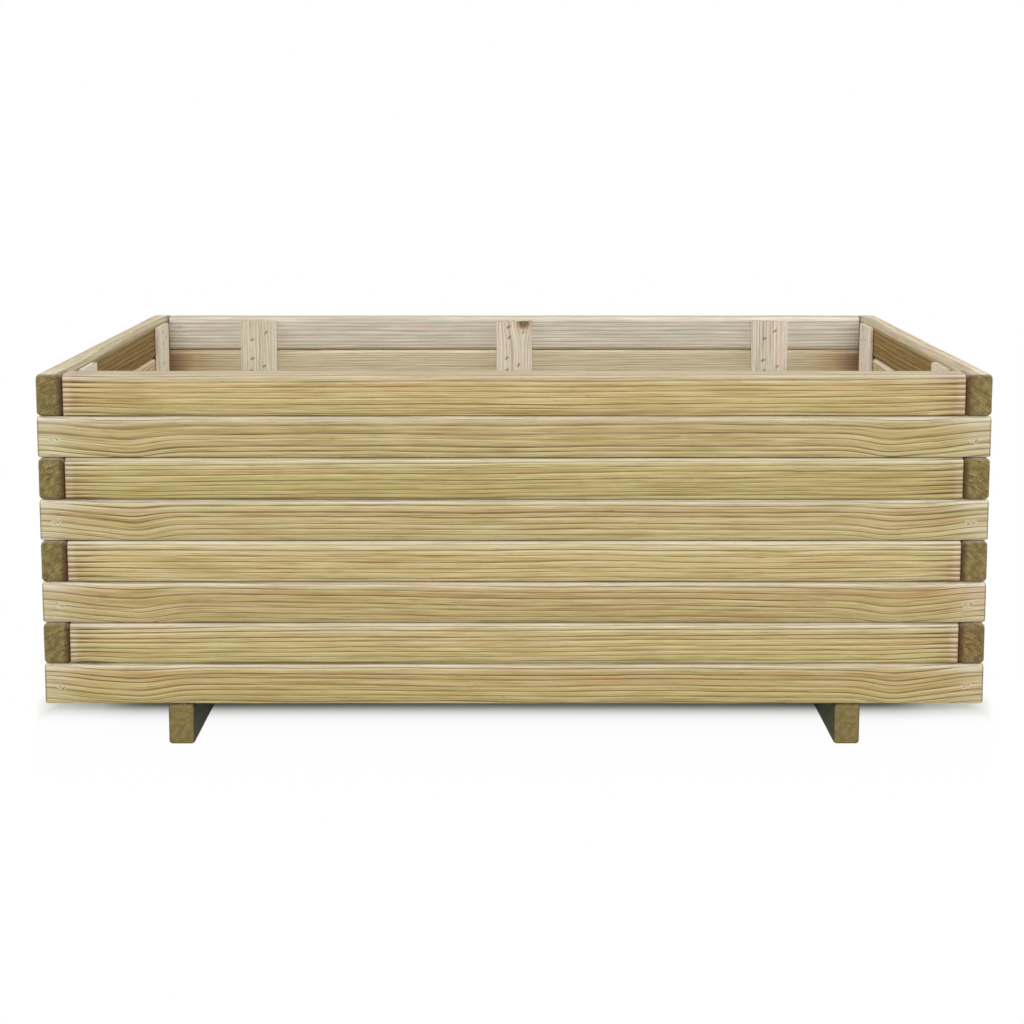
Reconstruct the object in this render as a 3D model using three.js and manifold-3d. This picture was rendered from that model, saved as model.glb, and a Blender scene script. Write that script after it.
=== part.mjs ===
// Raised garden bed: a timber trough of stacked boards that stands on two bearers.
// Lengths are in millimetres and +Z is up. The origin is on the ground under the middle of the trough,
// +X runs along its length and the front wall faces -Y.

import * as THREE from 'three';
import { mergeVertices } from 'three/addons/utils/BufferGeometryUtils.js';
import Module from 'manifold-3d';

const wasm = await Module();
wasm.setup();

// The trough
const LENGTH = 1000;
const DEPTH = 500;
const COURSES = 8;
const FIT = 0.3; // the gap left between two pieces that touch

// Wall boards
const BOARD_THICKNESS = 28;
const BOARD_HEIGHT = 44.2;
const BOARD_ROUNDING = 5;

// Feet: bearers that run from the front face to the back face
const FOOT_WIDTH = 28;
const FOOT_HEIGHT = 44;
const FOOT_ROUNDING = 4;
const FOOT_FROM_END = 145; // from the outside of an end wall to the middle of a foot

// Battens, which hold the boards of a wall together from the inside
const BATTEN_WIDTH = 49;
const BATTEN_THICKNESS = 7;
const BATTEN_ROUNDING = 1;
const BATTEN_INSET = 4; // short of the wall, at its top and at its bottom
const LONG_BATTEN_FROM_END = 152; // from the outside of an end wall to the middle of a batten
const CORNER_BATTEN_GAP = 29; // from the inner face of a long wall to the batten beside it

// Floor slats, laid lengthwise on the feet
const SLATS = 5;
const SLAT_THICKNESS = 18;
const SLAT_ROUNDING = 2;
const SLAT_GAP = 9.5;
const SLAT_PLAY = 0.4; // between the floor and the battens around it

// Sawn ends
const END_EASING = 1.2;
const END_EASING_MOST_SHARE = 0.5; // of the rounding along the piece's edges

// Countersunk screws, driven from below through a foot into a wall's lowest board
const SCREW_LENGTH = 76;
const SHANK_RADIUS = 2.4;
const POINT_LENGTH = 8;
const HEAD_RADIUS = 4.8;
const HEAD_CONE_HEIGHT = 3.2;
const HEAD_RIM_HEIGHT = 0.6;
const HEAD_SUNK = 0.8; // from the underside of the foot up to the head
const SOCKET_RADIUS = 2.2;
const SOCKET_DEPTH = 2;

// Steps of the round shapes, and how far a cut runs past what it cuts
const CORNER_STEPS = 2; // an outline's arcs get twice as many
const SCREW_SIDES = 16;
const SOCKET_SIDES = 6;
const OVERRUN = 1;

// Heights and inner faces that follow from the sizes
const COURSE_PITCH = BOARD_HEIGHT + FIT;
const WALL_BOTTOM = FOOT_HEIGHT + FIT;
const WALL_HEIGHT = COURSES * COURSE_PITCH - FIT;
const INNER_LENGTH = LENGTH - 2 * BOARD_THICKNESS;
const INNER_DEPTH = DEPTH - 2 * BOARD_THICKNESS;
const BATTEN_STEP_IN = FIT + BATTEN_THICKNESS; // from a wall's inner face to a batten's inner face

// Colours are those of pressure-treated pine in soft daylight.
const pine = new THREE.MeshStandardMaterial({ color: '#bfa872', roughness: 0.8, metalness: 0 });
const paleBatten = new THREE.MeshStandardMaterial({ color: '#cbbd9c', roughness: 0.85, metalness: 0 });
const footPine = new THREE.MeshStandardMaterial({ color: '#a8945f', roughness: 0.85, metalness: 0 });
const floorPine = new THREE.MeshStandardMaterial({ color: '#b5a477', roughness: 0.85, metalness: 0 });
const zincSteel = new THREE.MeshStandardMaterial({ color: '#b9bab6', roughness: 0.4, metalness: 1 });

// Returns the outline of a rectangle with round corners, centred on the origin.
function roundedRectangle(width, height, radius) {
  const x = width / 2 - radius;
  const y = height / 2 - radius;
  const quarter = Math.PI / 2;
  const outline = new THREE.Shape();
  [[x, y], [-x, y], [-x, -y], [x, -y]].forEach(([cornerX, cornerY], turn) => {
    outline.absarc(cornerX, cornerY, radius, turn * quarter, (turn + 1) * quarter);
  });
  return outline;
}

// Returns a timber with its length along X, its thickness along Y and its height along Z, centred on the
// origin. Its long edges are round, and an easing takes the corner off the rim of each sawn end.
function timber(length, thickness, height, rounding) {
  const easing = Math.min(END_EASING, rounding * END_EASING_MOST_SHARE);
  const straight = length - 2 * easing;
  const geometry = new THREE.ExtrudeGeometry(roundedRectangle(height, thickness, rounding), {
    depth: straight,
    curveSegments: CORNER_STEPS,
    bevelThickness: easing,
    bevelSize: easing,
    bevelOffset: -easing,
    bevelSegments: 1,
  });
  return geometry.translate(0, 0, -straight / 2).rotateY(Math.PI / 2);
}

// Turns a closed geometry into a solid that can be cut.
function solid(geometry) {
  const bare = geometry.clone();
  bare.deleteAttribute('normal');
  bare.deleteAttribute('uv');
  const merged = mergeVertices(bare);
  return new wasm.Manifold(new wasm.Mesh({
    numProp: 3,
    vertProperties: merged.attributes.position.array,
    triVerts: merged.index.array,
  }));
}

// Turns a solid back into a geometry.
function geometryOf(cutSolid) {
  const { vertProperties, triVerts } = cutSolid.getMesh();
  const geometry = new THREE.BufferGeometry();
  geometry.setAttribute('position', new THREE.BufferAttribute(vertProperties, 3));
  geometry.setIndex(new THREE.BufferAttribute(triVerts, 1));
  const flat = geometry.toNonIndexed();
  flat.computeVertexNormals();
  return flat;
}

// Returns the screw as a round profile about Z, its head down at height 0 and its point up. Clearance grows
// it on every side, for the hole that it sits in, and that hole runs down past the foot's underside.
function screwProfile(clearance, runsOut) {
  const head = HEAD_RADIUS + clearance;
  const shank = SHANK_RADIUS + clearance;
  const bottom = runsOut ? -HEAD_SUNK - OVERRUN : 0;
  const coneEnd = HEAD_RIM_HEIGHT + HEAD_CONE_HEIGHT;
  const points = [
    [0, bottom],
    [head, bottom],
    [head, HEAD_RIM_HEIGHT],
    [shank, coneEnd],
    [shank, SCREW_LENGTH - POINT_LENGTH],
    [0, SCREW_LENGTH + 2 * clearance],
  ];
  return new THREE.LatheGeometry(points.map(([r, z]) => new THREE.Vector2(r, z)), SCREW_SIDES)
    .rotateX(Math.PI / 2);
}

// Returns the geometry of one screw, with a six-sided socket in its head.
function screwGeometry() {
  const socket = new THREE.CylinderGeometry(
    SOCKET_RADIUS, SOCKET_RADIUS, SOCKET_DEPTH + OVERRUN, SOCKET_SIDES,
  );
  socket.rotateX(Math.PI / 2).translate(0, 0, (SOCKET_DEPTH - OVERRUN) / 2);
  return geometryOf(solid(screwProfile(0, false)).subtract(solid(socket)));
}

// Returns the places of the screws, as points at the underside of their heads.
function screwPlaces() {
  const places = [];
  for (const side of [-1, 1]) {
    for (const face of [-1, 1]) {
      const x = side * (LENGTH / 2 - FOOT_FROM_END);
      const y = face * (DEPTH / 2 - BOARD_THICKNESS / 2);
      places.push(new THREE.Vector3(x, y, HEAD_SUNK));
    }
  }
  return places;
}

// Returns the geometry with a hole for every screw that reaches it. The centre is where its origin goes.
function drilled(geometry, centre) {
  let body = solid(geometry);
  for (const place of screwPlaces()) {
    const hole = screwProfile(FIT, true);
    hole.translate(place.x - centre.x, place.y - centre.y, place.z - centre.z);
    body = body.subtract(solid(hole));
  }
  return geometryOf(body);
}

const bed = new THREE.Group();

// Adds a named mesh. Turned is for a piece that runs from front to back.
function add(parent, name, geometry, material, centre, turned = false) {
  const mesh = new THREE.Mesh(geometry, material);
  mesh.name = name;
  mesh.position.copy(centre);
  mesh.rotation.z = turned ? Math.PI / 2 : 0;
  parent.add(mesh);
}

// Walls. Counted from the ground, the odd courses have long front and back boards and short end boards
// between them, and the even courses have long end boards and short front and back boards.
const walls = new THREE.Group();
bed.add(walls);
for (let course = 1; course <= COURSES; course += 1) {
  const middle = WALL_BOTTOM + (course - 1) * COURSE_PITCH + BOARD_HEIGHT / 2;
  const frontRunsThrough = course % 2 === 1;
  const frontLength = frontRunsThrough ? LENGTH : INNER_LENGTH - 2 * FIT;
  const endLength = frontRunsThrough ? INNER_DEPTH - 2 * FIT : DEPTH;
  for (const [wall, face] of [['front', -1], ['back', 1]]) {
    const centre = new THREE.Vector3(0, face * (DEPTH - BOARD_THICKNESS) / 2, middle);
    const board = timber(frontLength, BOARD_THICKNESS, BOARD_HEIGHT, BOARD_ROUNDING);
    const geometry = course === 1 ? drilled(board, centre) : board;
    add(walls, `${wall}_board_${course}`, geometry, pine, centre);
  }
  for (const [wall, side] of [['left', -1], ['right', 1]]) {
    const centre = new THREE.Vector3(side * (LENGTH - BOARD_THICKNESS) / 2, 0, middle);
    const board = timber(endLength, BOARD_THICKNESS, BOARD_HEIGHT, BOARD_ROUNDING);
    add(walls, `${wall}_board_${course}`, board, pine, centre, true);
  }
}

// Battens stand upright: a timber's length is turned from X to Z.
const battens = new THREE.Group();
bed.add(battens);
const battenLength = WALL_HEIGHT - 2 * BATTEN_INSET;
const battenMiddle = WALL_BOTTOM + WALL_HEIGHT / 2;
const battenGeometry = timber(battenLength, BATTEN_THICKNESS, BATTEN_WIDTH, BATTEN_ROUNDING)
  .rotateY(Math.PI / 2);
for (const [wall, face] of [['front', -1], ['back', 1]]) {
  const y = face * (INNER_DEPTH / 2 - FIT - BATTEN_THICKNESS / 2);
  const outer = LENGTH / 2 - LONG_BATTEN_FROM_END;
  for (const [place, x] of [['left', -outer], ['middle', 0], ['right', outer]]) {
    const centre = new THREE.Vector3(x, y, battenMiddle);
    add(battens, `${wall}_batten_${place}`, battenGeometry, paleBatten, centre);
  }
}
for (const [wall, side] of [['left', -1], ['right', 1]]) {
  const x = side * (INNER_LENGTH / 2 - FIT - BATTEN_THICKNESS / 2);
  const y = INNER_DEPTH / 2 - CORNER_BATTEN_GAP - BATTEN_WIDTH / 2;
  for (const [place, face] of [['front', -1], ['back', 1]]) {
    const centre = new THREE.Vector3(x, face * y, battenMiddle);
    add(battens, `${wall}_batten_${place}`, battenGeometry, paleBatten, centre, true);
  }
}

// Feet
for (const [place, side] of [['left', -1], ['right', 1]]) {
  const centre = new THREE.Vector3(side * (LENGTH / 2 - FOOT_FROM_END), 0, FOOT_HEIGHT / 2);
  const bearer = timber(DEPTH, FOOT_WIDTH, FOOT_HEIGHT, FOOT_ROUNDING).rotateZ(Math.PI / 2);
  add(bed, `foot_${place}`, drilled(bearer, centre), footPine, centre);
}

// Floor slats lie side by side between the battens of the long walls.
const floorLength = INNER_LENGTH - 2 * (BATTEN_STEP_IN + SLAT_PLAY);
const floorDepth = INNER_DEPTH - 2 * (BATTEN_STEP_IN + SLAT_PLAY);
const slatWidth = (floorDepth - (SLATS - 1) * SLAT_GAP) / SLATS;
for (let slat = 0; slat < SLATS; slat += 1) {
  const y = (slatWidth - floorDepth) / 2 + slat * (slatWidth + SLAT_GAP);
  const centre = new THREE.Vector3(0, y, WALL_BOTTOM + SLAT_THICKNESS / 2);
  const board = timber(floorLength, slatWidth, SLAT_THICKNESS, SLAT_ROUNDING);
  add(bed, `floor_slat_${slat + 1}`, board, floorPine, centre);
}

// Screws
const screw = screwGeometry();
const screwNames = ['left_front', 'left_back', 'right_front', 'right_back'];
screwPlaces().forEach((place, index) => {
  add(bed, `foot_screw_${screwNames[index]}`, screw, zincSteel, place);
});

export default bed;
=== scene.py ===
# %% [markdown]
# # A raised garden bed of pressure-treated pine
#
# The bed is a trough of planed boards, stacked in eight courses whose corners interlock like a log cabin.
# Thin battens, stapled on from the inside, hold the boards of a wall together, and two bearers under the
# trough keep it off the ground.
#
# The construction, with every board at its real size and place, is loaded as a fixed frame. A box with
# round edges is true to size but not yet wood, so this script makes each timber again as a fine surface
# inside its frame solid, and works out for every point of it where that point lay in the tree.

import bpy
import numpy as np
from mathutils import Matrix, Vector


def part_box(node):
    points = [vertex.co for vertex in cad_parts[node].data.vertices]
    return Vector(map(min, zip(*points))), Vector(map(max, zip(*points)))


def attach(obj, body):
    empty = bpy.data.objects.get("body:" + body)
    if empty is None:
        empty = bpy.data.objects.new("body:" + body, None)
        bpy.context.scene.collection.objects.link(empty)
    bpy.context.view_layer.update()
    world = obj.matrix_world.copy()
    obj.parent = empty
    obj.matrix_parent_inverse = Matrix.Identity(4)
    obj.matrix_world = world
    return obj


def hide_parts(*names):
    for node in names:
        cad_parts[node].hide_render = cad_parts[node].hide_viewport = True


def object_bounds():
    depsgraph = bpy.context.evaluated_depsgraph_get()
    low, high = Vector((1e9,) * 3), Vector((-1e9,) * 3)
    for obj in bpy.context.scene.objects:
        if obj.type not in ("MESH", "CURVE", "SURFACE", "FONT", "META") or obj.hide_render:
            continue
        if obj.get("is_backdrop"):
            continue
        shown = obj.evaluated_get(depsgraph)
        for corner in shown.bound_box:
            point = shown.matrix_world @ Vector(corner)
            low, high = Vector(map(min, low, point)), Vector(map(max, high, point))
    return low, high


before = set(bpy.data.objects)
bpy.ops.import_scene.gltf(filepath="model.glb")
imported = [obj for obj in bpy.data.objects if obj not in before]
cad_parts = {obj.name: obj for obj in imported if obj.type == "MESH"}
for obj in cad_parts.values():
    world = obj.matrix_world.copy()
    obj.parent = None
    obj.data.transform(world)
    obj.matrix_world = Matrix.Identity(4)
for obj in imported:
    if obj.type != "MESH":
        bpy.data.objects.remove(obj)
MM = 0.001  # metres
cad_low, cad_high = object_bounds()
print("frame nodes:", len(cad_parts), "size in metres:", [round(v, 4) for v in cad_high - cad_low])

# %% [markdown]
# ## Helpers for materials
#
# Colours are written as sRGB hex, the way a colour picker shows them, and one function turns them into the
# linear light that Blender's shaders want. Another adds a shader node, which is otherwise three lines: make
# it, set it, link it.

# %% Colour and node helpers
def linear(hex_colour):
    """Turns an sRGB hex colour into linear RGBA. Each channel c becomes ((c + 0.055) / 1.055) ** 2.4, or
    c / 12.92 where it is very dark."""
    srgb = np.array([int(hex_colour[i : i + 2], 16) for i in (1, 3, 5)]) / 255
    channels = np.where(srgb > 0.04045, ((srgb + 0.055) / 1.055) ** 2.4, srgb / 12.92)
    return (*channels, 1.0)


def add_node(tree, kind, inputs=None, stops=None, **settings):
    """Adds a node to a tree. Inputs maps the name of a socket to a number, a colour in hex, another socket,
    or a node, whose first socket in use is meant. Stops are the places and colours of a colour ramp."""
    node = tree.nodes.new("ShaderNode" + kind)
    for name, value in settings.items():
        setattr(node, name, value)
    for name, value in (inputs or {}).items():
        if isinstance(name, int):
            socket = node.inputs[name]
        else:
            socket = next(s for s in node.inputs if s.name == name and s.enabled)
        if isinstance(value, bpy.types.Node):
            value = next(s for s in value.outputs if s.enabled)
        if isinstance(value, bpy.types.NodeSocket):
            tree.links.new(value, socket)
        else:
            socket.default_value = linear(value) if isinstance(value, str) else value
    for index, (place, colour) in enumerate(stops or []):
        elements = node.color_ramp.elements
        element = elements[index] if index < len(elements) else elements.new(place)
        element.position = place
        element.color = linear(colour)
    return node


def empty_material(name):
    """Returns a new material and its empty node tree."""
    material = bpy.data.materials.new(name)
    material.use_nodes = True
    material.node_tree.nodes.clear()
    return material, material.node_tree


print("the mid grey #808080 is", round(linear("#808080")[0], 3), "in linear light")

# %% [markdown]
# ## Camera, light and floor
#
# The bed is photographed from the front, a little above its rim, with a lens slightly longer than normal.
# Product photographers keep the uprights parallel by pointing the camera almost level and shifting the
# lens, and Blender's camera has the same shift.
#
# A large soft light in front, one on each side and an even white surround give soft light at a level at
# which a colour renders about as it is written. A single overhead light would be simpler, but it would
# leave the inside of the trough dark. The floor is white paper. Only to the camera it glows a little, so
# that it reads as white and still keeps the soft shadow of the bed.

# %% Camera
scene = bpy.context.scene
scene.view_settings.view_transform = "Standard"
camera_data = bpy.data.cameras.new("camera")
camera_data.sensor_width = 36
camera_data.lens = 51.17
camera_data.shift_x, camera_data.shift_y = -0.0021, -0.23
camera = bpy.data.objects.new("camera", camera_data)
scene.collection.objects.link(camera)
camera.location = (0, -1.7499, 0.6492)
TILT = np.radians(5.59)  # below the horizon
camera.rotation_euler = (np.pi / 2 - TILT, 0, 0)
scene.camera = camera
print("camera height:", camera.location.z, "lens in mm:", camera_data.lens)

# %% Lights
def add_soft_light(name, location, target, size, watts):
    """A rectangular area light whose -Z axis points from its location to the target."""
    data = bpy.data.lights.new(name, "AREA")
    data.shape = "RECTANGLE"
    data.size, data.size_y = size
    data.energy = watts
    light = bpy.data.objects.new(name, data)
    scene.collection.objects.link(light)
    light.location = location
    direction = np.array(target, float) - np.array(location, float)
    level = np.hypot(direction[0], direction[1])
    light.rotation_euler = (np.arctan2(level, -direction[2]), 0, np.arctan2(-direction[0], direction[1]))
    return light


MIDDLE = (0, 0, 0.2)  # of the bed
add_soft_light("front", (0, -2.7, 2.2), MIDDLE, (2.4, 1.2), 53)
for side, name in ((-1, "left"), (1, "right")):
    add_soft_light(name, (side * 2.3, -0.3, 1.9), MIDDLE, (1.6, 1.2), 38)


def seen_directly(tree):
    """Adds nodes whose result is 1 for what the camera sees, straight or by way of a reflection or glass,
    and 0 for the rays that only carry light."""
    path = add_node(tree, "LightPath")
    camera_ray, glossy_ray, transmission_ray = (
        path.outputs[f"Is {kind} Ray"] for kind in ("Camera", "Glossy", "Transmission")
    )
    either = add_node(tree, "Math", {0: camera_ray, 1: glossy_ray}, operation="MAXIMUM")
    return add_node(tree, "Math", {0: either, 1: transmission_ray}, operation="MAXIMUM")


world = bpy.data.worlds.new("studio")
world.use_nodes = True
tree = world.node_tree
tree.nodes.clear()
SURROUND = 0.46  # how brightly the surround lights the bed, where 1 is white
strength = add_node(tree, "MapRange", {"Value": seen_directly(tree), "To Min": SURROUND, "To Max": 1.0})
surround = add_node(tree, "Background", {"Color": "#FFFFFF", "Strength": strength})
add_node(tree, "OutputWorld", {"Surface": surround})
scene.world = world

# %% Floor
FLOOR_REACH = 30  # metres
floor_mesh = bpy.data.meshes.new("floor")
signs = [(-1, -1), (1, -1), (1, 1), (-1, 1)]
floor_mesh.from_pydata([(x * FLOOR_REACH, y * FLOOR_REACH, 0) for x, y in signs], [], [(0, 1, 2, 3)])
floor = bpy.data.objects.new("floor", floor_mesh)
scene.collection.objects.link(floor)
paper, tree = empty_material("white paper")
shader = add_node(tree, "BsdfPrincipled", {"Base Color": "#C4C9BE", "Roughness": 0.9})

# The glow grows with the distance in front of or behind the bed's outline: none deep under the bed, and
# full well outside it. At the back it starts nearer to the outline, so that the floor between the slats
# stays dark. Beyond the bed's ends it is full, and the ends of the shadow draw in towards its front.
OUTLINE = (0.5, 0.25, 0)  # half the bed's length and depth
place = add_node(tree, "TexCoord").outputs["Object"]
away = add_node(tree, "VectorMath", {0: place}, operation="ABSOLUTE")
away = add_node(tree, "VectorMath", {0: away, 1: OUTLINE}, operation="SUBTRACT")
away_x, away_y, _ = add_node(tree, "SeparateXYZ", {0: away}).outputs
UNDER, CLEAR = -0.115, 0.125  # metres from the outline, where the glow starts and where it is full
UNDER_BACK, HAND_OVER = -0.025, 0.05  # where it starts at the back, and by how far behind the middle
behind = add_node(tree, "SeparateXYZ", {0: place}).outputs[1]
limits = {"From Min": 0.0, "From Max": HAND_OVER, "To Min": UNDER, "To Max": UNDER_BACK}
start = add_node(tree, "MapRange", {"Value": behind, **limits})
clear = add_node(tree, "MapRange", {"Value": away_y, "From Min": start, "From Max": CLEAR})
clear = add_node(
    tree, "ValToRGB", {0: clear},
    stops=[
        (0.0, "#101010"), (0.033, "#3C3C3C"), (0.056, "#747474"), (0.08, "#A0A0A0"), (0.115, "#CCCCCC"),
        (0.163, "#EBEBEB"), (0.198, "#F6F6F6"), (0.25, "#FCFCFC"), (0.479, "#FDFDFD"), (1.0, "#FFFFFF"),
    ],
)
DRAW_IN = 0.33  # how far the shadow's ends draw in, as a share of the way
FADE_FROM, FADE_TO = -0.02, 0.012  # metres beyond the ends, over which the shadow there fades
forward = add_node(tree, "Math", {0: away_y, 1: UNDER}, operation="MAXIMUM")
beyond = add_node(tree, "Math", {0: forward, 1: DRAW_IN, 2: away_x}, operation="MULTIPLY_ADD")
beyond = add_node(tree, "MapRange", {"Value": beyond, "From Min": FADE_FROM, "From Max": FADE_TO})
share = add_node(tree, "Math", {0: clear, 1: beyond}, operation="MAXIMUM")
share = add_node(tree, "Math", {0: share, 1: seen_directly(tree)}, operation="MULTIPLY")
glow = add_node(tree, "Emission", {"Color": "#FFFFFF", "Strength": 1.0})
mixed = add_node(tree, "MixShader", {0: share, 1: shader, 2: glow})
add_node(tree, "OutputMaterial", {"Surface": mixed})
floor_mesh.materials.append(paper)
floor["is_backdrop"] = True
print("floor material:", paper.name, "with", len(tree.nodes), "nodes")

# %% [markdown]
# ## A timber as one surface
#
# A board on the real bed is sawn, planed on four sides with its long edges rounded, and cut to length with
# the rim of each end slightly worn. A cube with a Bevel modifier gives that outline, but its big faces have
# no points to hold a wavy edge or a staple hole.
#
# So the board is a profile carried along a path. One parameter goes round the section and the other goes
# along the board. At the ends the same profile shrinks by the worn rim and then runs in to a small core, so
# that the whole timber is one grid with its two ends closed.

# %% The section of a timber
CORNER_STEPS = 4
CLEARANCE = 0.3 * MM  # between a corner and the next point


def section(thickness, height, roundings, faces, edges):
    """The outline of a section, as arrays t, h, n_t and n_h: points and outward normals. The roundings are
    those of the two upper and of the two lower corners.

    It starts on the outer face, where t is -thickness / 2, goes up, and returns down the inner face. A
    straight side runs between two corners, and a corner is its centre plus rounding times the normal
    (-cos a, sin a), with the angle a growing from 0 on the outer face to a full turn. Faces and edges give
    the places of the points on the two broad and the two narrow sides, in metres from their middle."""
    turn = np.linspace(0, np.pi / 2, CORNER_STEPS + 1)
    sides = [(-1, 0, faces), (0, 1, edges), (1, 0, faces[::-1]), (0, -1, edges[::-1])]
    corners = [(-1, 1), (1, 1), (1, -1), (-1, -1)]
    parts = []
    for quarter, ((n_t, n_h, places), (c_t, c_h)) in enumerate(zip(sides, corners)):
        side_t = n_t * thickness / 2 + (places if n_h else 0 * places)
        side_h = n_h * height / 2 + (places if n_t else 0 * places)
        parts.append([side_t, side_h, n_t + 0 * places, n_h + 0 * places])
        angle = turn + quarter * np.pi / 2
        normal_t, normal_h = -np.cos(angle), np.sin(angle)
        rounding = roundings[0] if c_h > 0 else roundings[1]
        corner_t = c_t * (thickness / 2 - rounding) + rounding * normal_t
        corner_h = c_h * (height / 2 - rounding) + rounding * normal_h
        parts.append([corner_t, corner_h, normal_t, normal_h])
    return [np.concatenate(arrays) for arrays in zip(*parts)]


def points_between(reach, step, fine=(), fine_reach=6 * MM, fine_step=0.8 * MM):
    """Places from -reach to reach, both left out, about a step apart. They are close together, a fine step
    apart, near each of the fine places."""
    count = max(2, round(2 * reach / step))
    places = np.linspace(-reach, reach, count + 1)[1:-1]
    for centre in fine:
        places = places[np.abs(places - centre) > fine_reach + fine_step / 2]
        close = np.arange(-fine_reach, fine_reach + fine_step / 2, fine_step)
        places = np.concatenate([places, centre + close])
    return np.sort(places[np.abs(places) < reach - CLEARANCE])


print("places on 20 mm:", points_between(10 * MM, 5 * MM) / MM)


# %% The rows along a timber
CAP_STEPS = 6
RIM_STEPS = 3
CORE_SHARE = 0.1  # of the section, at which an end is closed by one flat face
BODY_START = 1.5  # widths of the rim from the end


def rows_along(length, easing, places):
    """The rows of a timber's grid as arrays: place along it, inset of the section, scale, and end share.

    From the core the scale grows to 1, then the rim of the end turns through a quarter circle, with place
    easing * (1 - cos a) and inset easing * (1 - sin a), and the body follows. The other end is the mirror.
    End share is 1 on the sawn end and falls to 0 over the rim."""
    scale_in = np.linspace(CORE_SHARE, 1, CAP_STEPS + 1)[:-1]
    angle = np.linspace(0, np.pi / 2, RIM_STEPS + 1)
    place = np.concatenate([0 * scale_in, easing * (1 - np.cos(angle))]) - length / 2
    inset = np.concatenate([easing + 0 * scale_in, easing * (1 - np.sin(angle))])
    scale = np.concatenate([scale_in, 1 + 0 * angle])
    end = np.concatenate([1 + 0 * scale_in, np.cos(angle) ** 2])
    body = places[np.abs(places) < length / 2 - BODY_START * easing]
    calm = 0 * body
    parts = zip((place, inset, scale, end), (body, calm, calm + 1, calm), (-1, 1, 1, 1))
    return [np.concatenate([near, middle, sign * near[::-1]]) for near, middle, sign in parts]


print("rows of a bare 100 mm timber:", len(rows_along(0.1, 2 * MM, np.zeros(0))[0]))


# %% [markdown]
# ## Where the wood grew
#
# The lines on a pine board are the tree's growth rings, cut at an angle. An image of wood would give every
# board the same lines and leave its ends wrong. Here each point of a board knows how many rings lie between
# it and the heart of the tree, so that the lines on the face, over the round edge and on the end grain are
# the same rings.
#
# The heart of the tree is a line near the board. The distance from it, divided by the ring width, counts
# the rings. Near a branch the rings bend aside, and so the point is moved before the distance is taken.

# %% Growth rings
LINE_WAVE = 420 * MM  # the wavelength at which the lines of a board wander
BEND_LONG, BEND_HIGH, PUSH = 2.6, 2.2, 0.8  # how far a knot bends the rings, in its radii, and how much
FAR = 9.0  # stands for no cut end and no knot nearby


def wander(x, wavelength, rng):
    """A smooth line between -1 and 1: three sines of x whose wavelengths share no multiple."""
    total, weights = 0, 0
    for share, weight in ((1, 1), (0.61, 0.6), (0.37, 0.3)):
        total = total + weight * np.sin(2 * np.pi * x / (wavelength * share) + rng.uniform(0, 2 * np.pi))
        weights += weight
    return total / weights


def rings_of(along, t, h, wood, rng):
    """How many rings lie between each point and the heart, how far round the heart it is in metres, and how
    far it is from the nearest knot, in knot radii.

    A bend (place, height, drop, half length, half height) lowers the rings by drop times a bell curve of
    the distance from its centre. A knot (place, height, radius, stretch) is stretched along the wood. It
    pushes them aside, up above it and down below it, by a share of the distance from its middle that falls
    off as a bell curve too."""
    height = h - wood["wave"] * wander(along, LINE_WAVE, rng)
    for place, centre, drop, long, high in wood.get("bends", ()):
        bell = np.exp(-(((along - place) / long) ** 2) - ((h - centre) / high) ** 2)
        height = height + drop * bell
    nearest = np.full_like(h, FAR)
    for place, centre, radius, stretch in wood.get("knots", ()):
        off_along, off_height = along - place, h - centre
        bell = np.exp(-((off_along / (BEND_LONG * radius)) ** 2) - (off_height / (BEND_HIGH * radius)) ** 2)
        height = height - PUSH * off_height * bell
        nearest = np.minimum(nearest, np.hypot(off_along / stretch, off_height) / radius)
    heart_t, heart_h = wood["heart"]
    from_t = t - heart_t - wood["lean"][0] * along
    from_h = height - heart_h - wood["lean"][1] * along
    distance = np.hypot(from_t, from_h)
    turn = np.arctan2(from_t, np.abs(from_h)) * np.mean(distance)
    return distance / wood["ring"], turn, nearest


print("a wandering line:", np.round(wander(np.linspace(0, 1, 5), LINE_WAVE, np.random.default_rng(0)), 2))

# %% [markdown]
# ## From arrays to a Blender object
#
# The arrays go into a mesh in one step. Beside the points, the mesh carries four attributes that the
# materials read: where the point lay in the tree, what kind of surface it is and how dry, the tone of its
# board, and the marks on it, such as a staple nearby or grey weather. The dryness, the tone and the grey also
# carry painted light and painted shade on edges and joints.

# %% Mesh helpers
def add_mesh(name, points, faces, attributes=None):
    """Makes a smooth-shaded object of points and faces. Attributes are arrays of one vector per point."""
    mesh = bpy.data.meshes.new(name)
    mesh.from_pydata(points, [], faces)
    for key, vectors in (attributes or {}).items():
        layer = mesh.attributes.new(key, "FLOAT_VECTOR", "POINT")
        layer.data.foreach_set("vector", np.ascontiguousarray(vectors, np.float32).ravel())
    mesh.polygons.foreach_set("use_smooth", np.ones(len(mesh.polygons), bool))
    piece = bpy.data.objects.new(name, mesh)
    scene.collection.objects.link(piece)
    return piece


def grid_faces(rows, columns):
    """Quads of a grid whose columns close into a ring, and one flat face for each end."""
    first = np.arange(rows * columns).reshape(rows, columns)
    after = np.roll(first, -1, axis=1)
    quads = np.stack([first[:-1], first[1:], after[1:], after[:-1]], axis=-1).reshape(-1, 4)
    return [*quads.tolist(), first[0].tolist(), first[-1][::-1].tolist()]


def smooth_step(x, low, high):
    """Rises from 0 at low to 1 at high as 3 s^2 - 2 s^3, with s the share of the way."""
    share = np.clip((x - low) / (high - low), 0, 1)
    return share * share * (3 - 2 * share)


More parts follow.
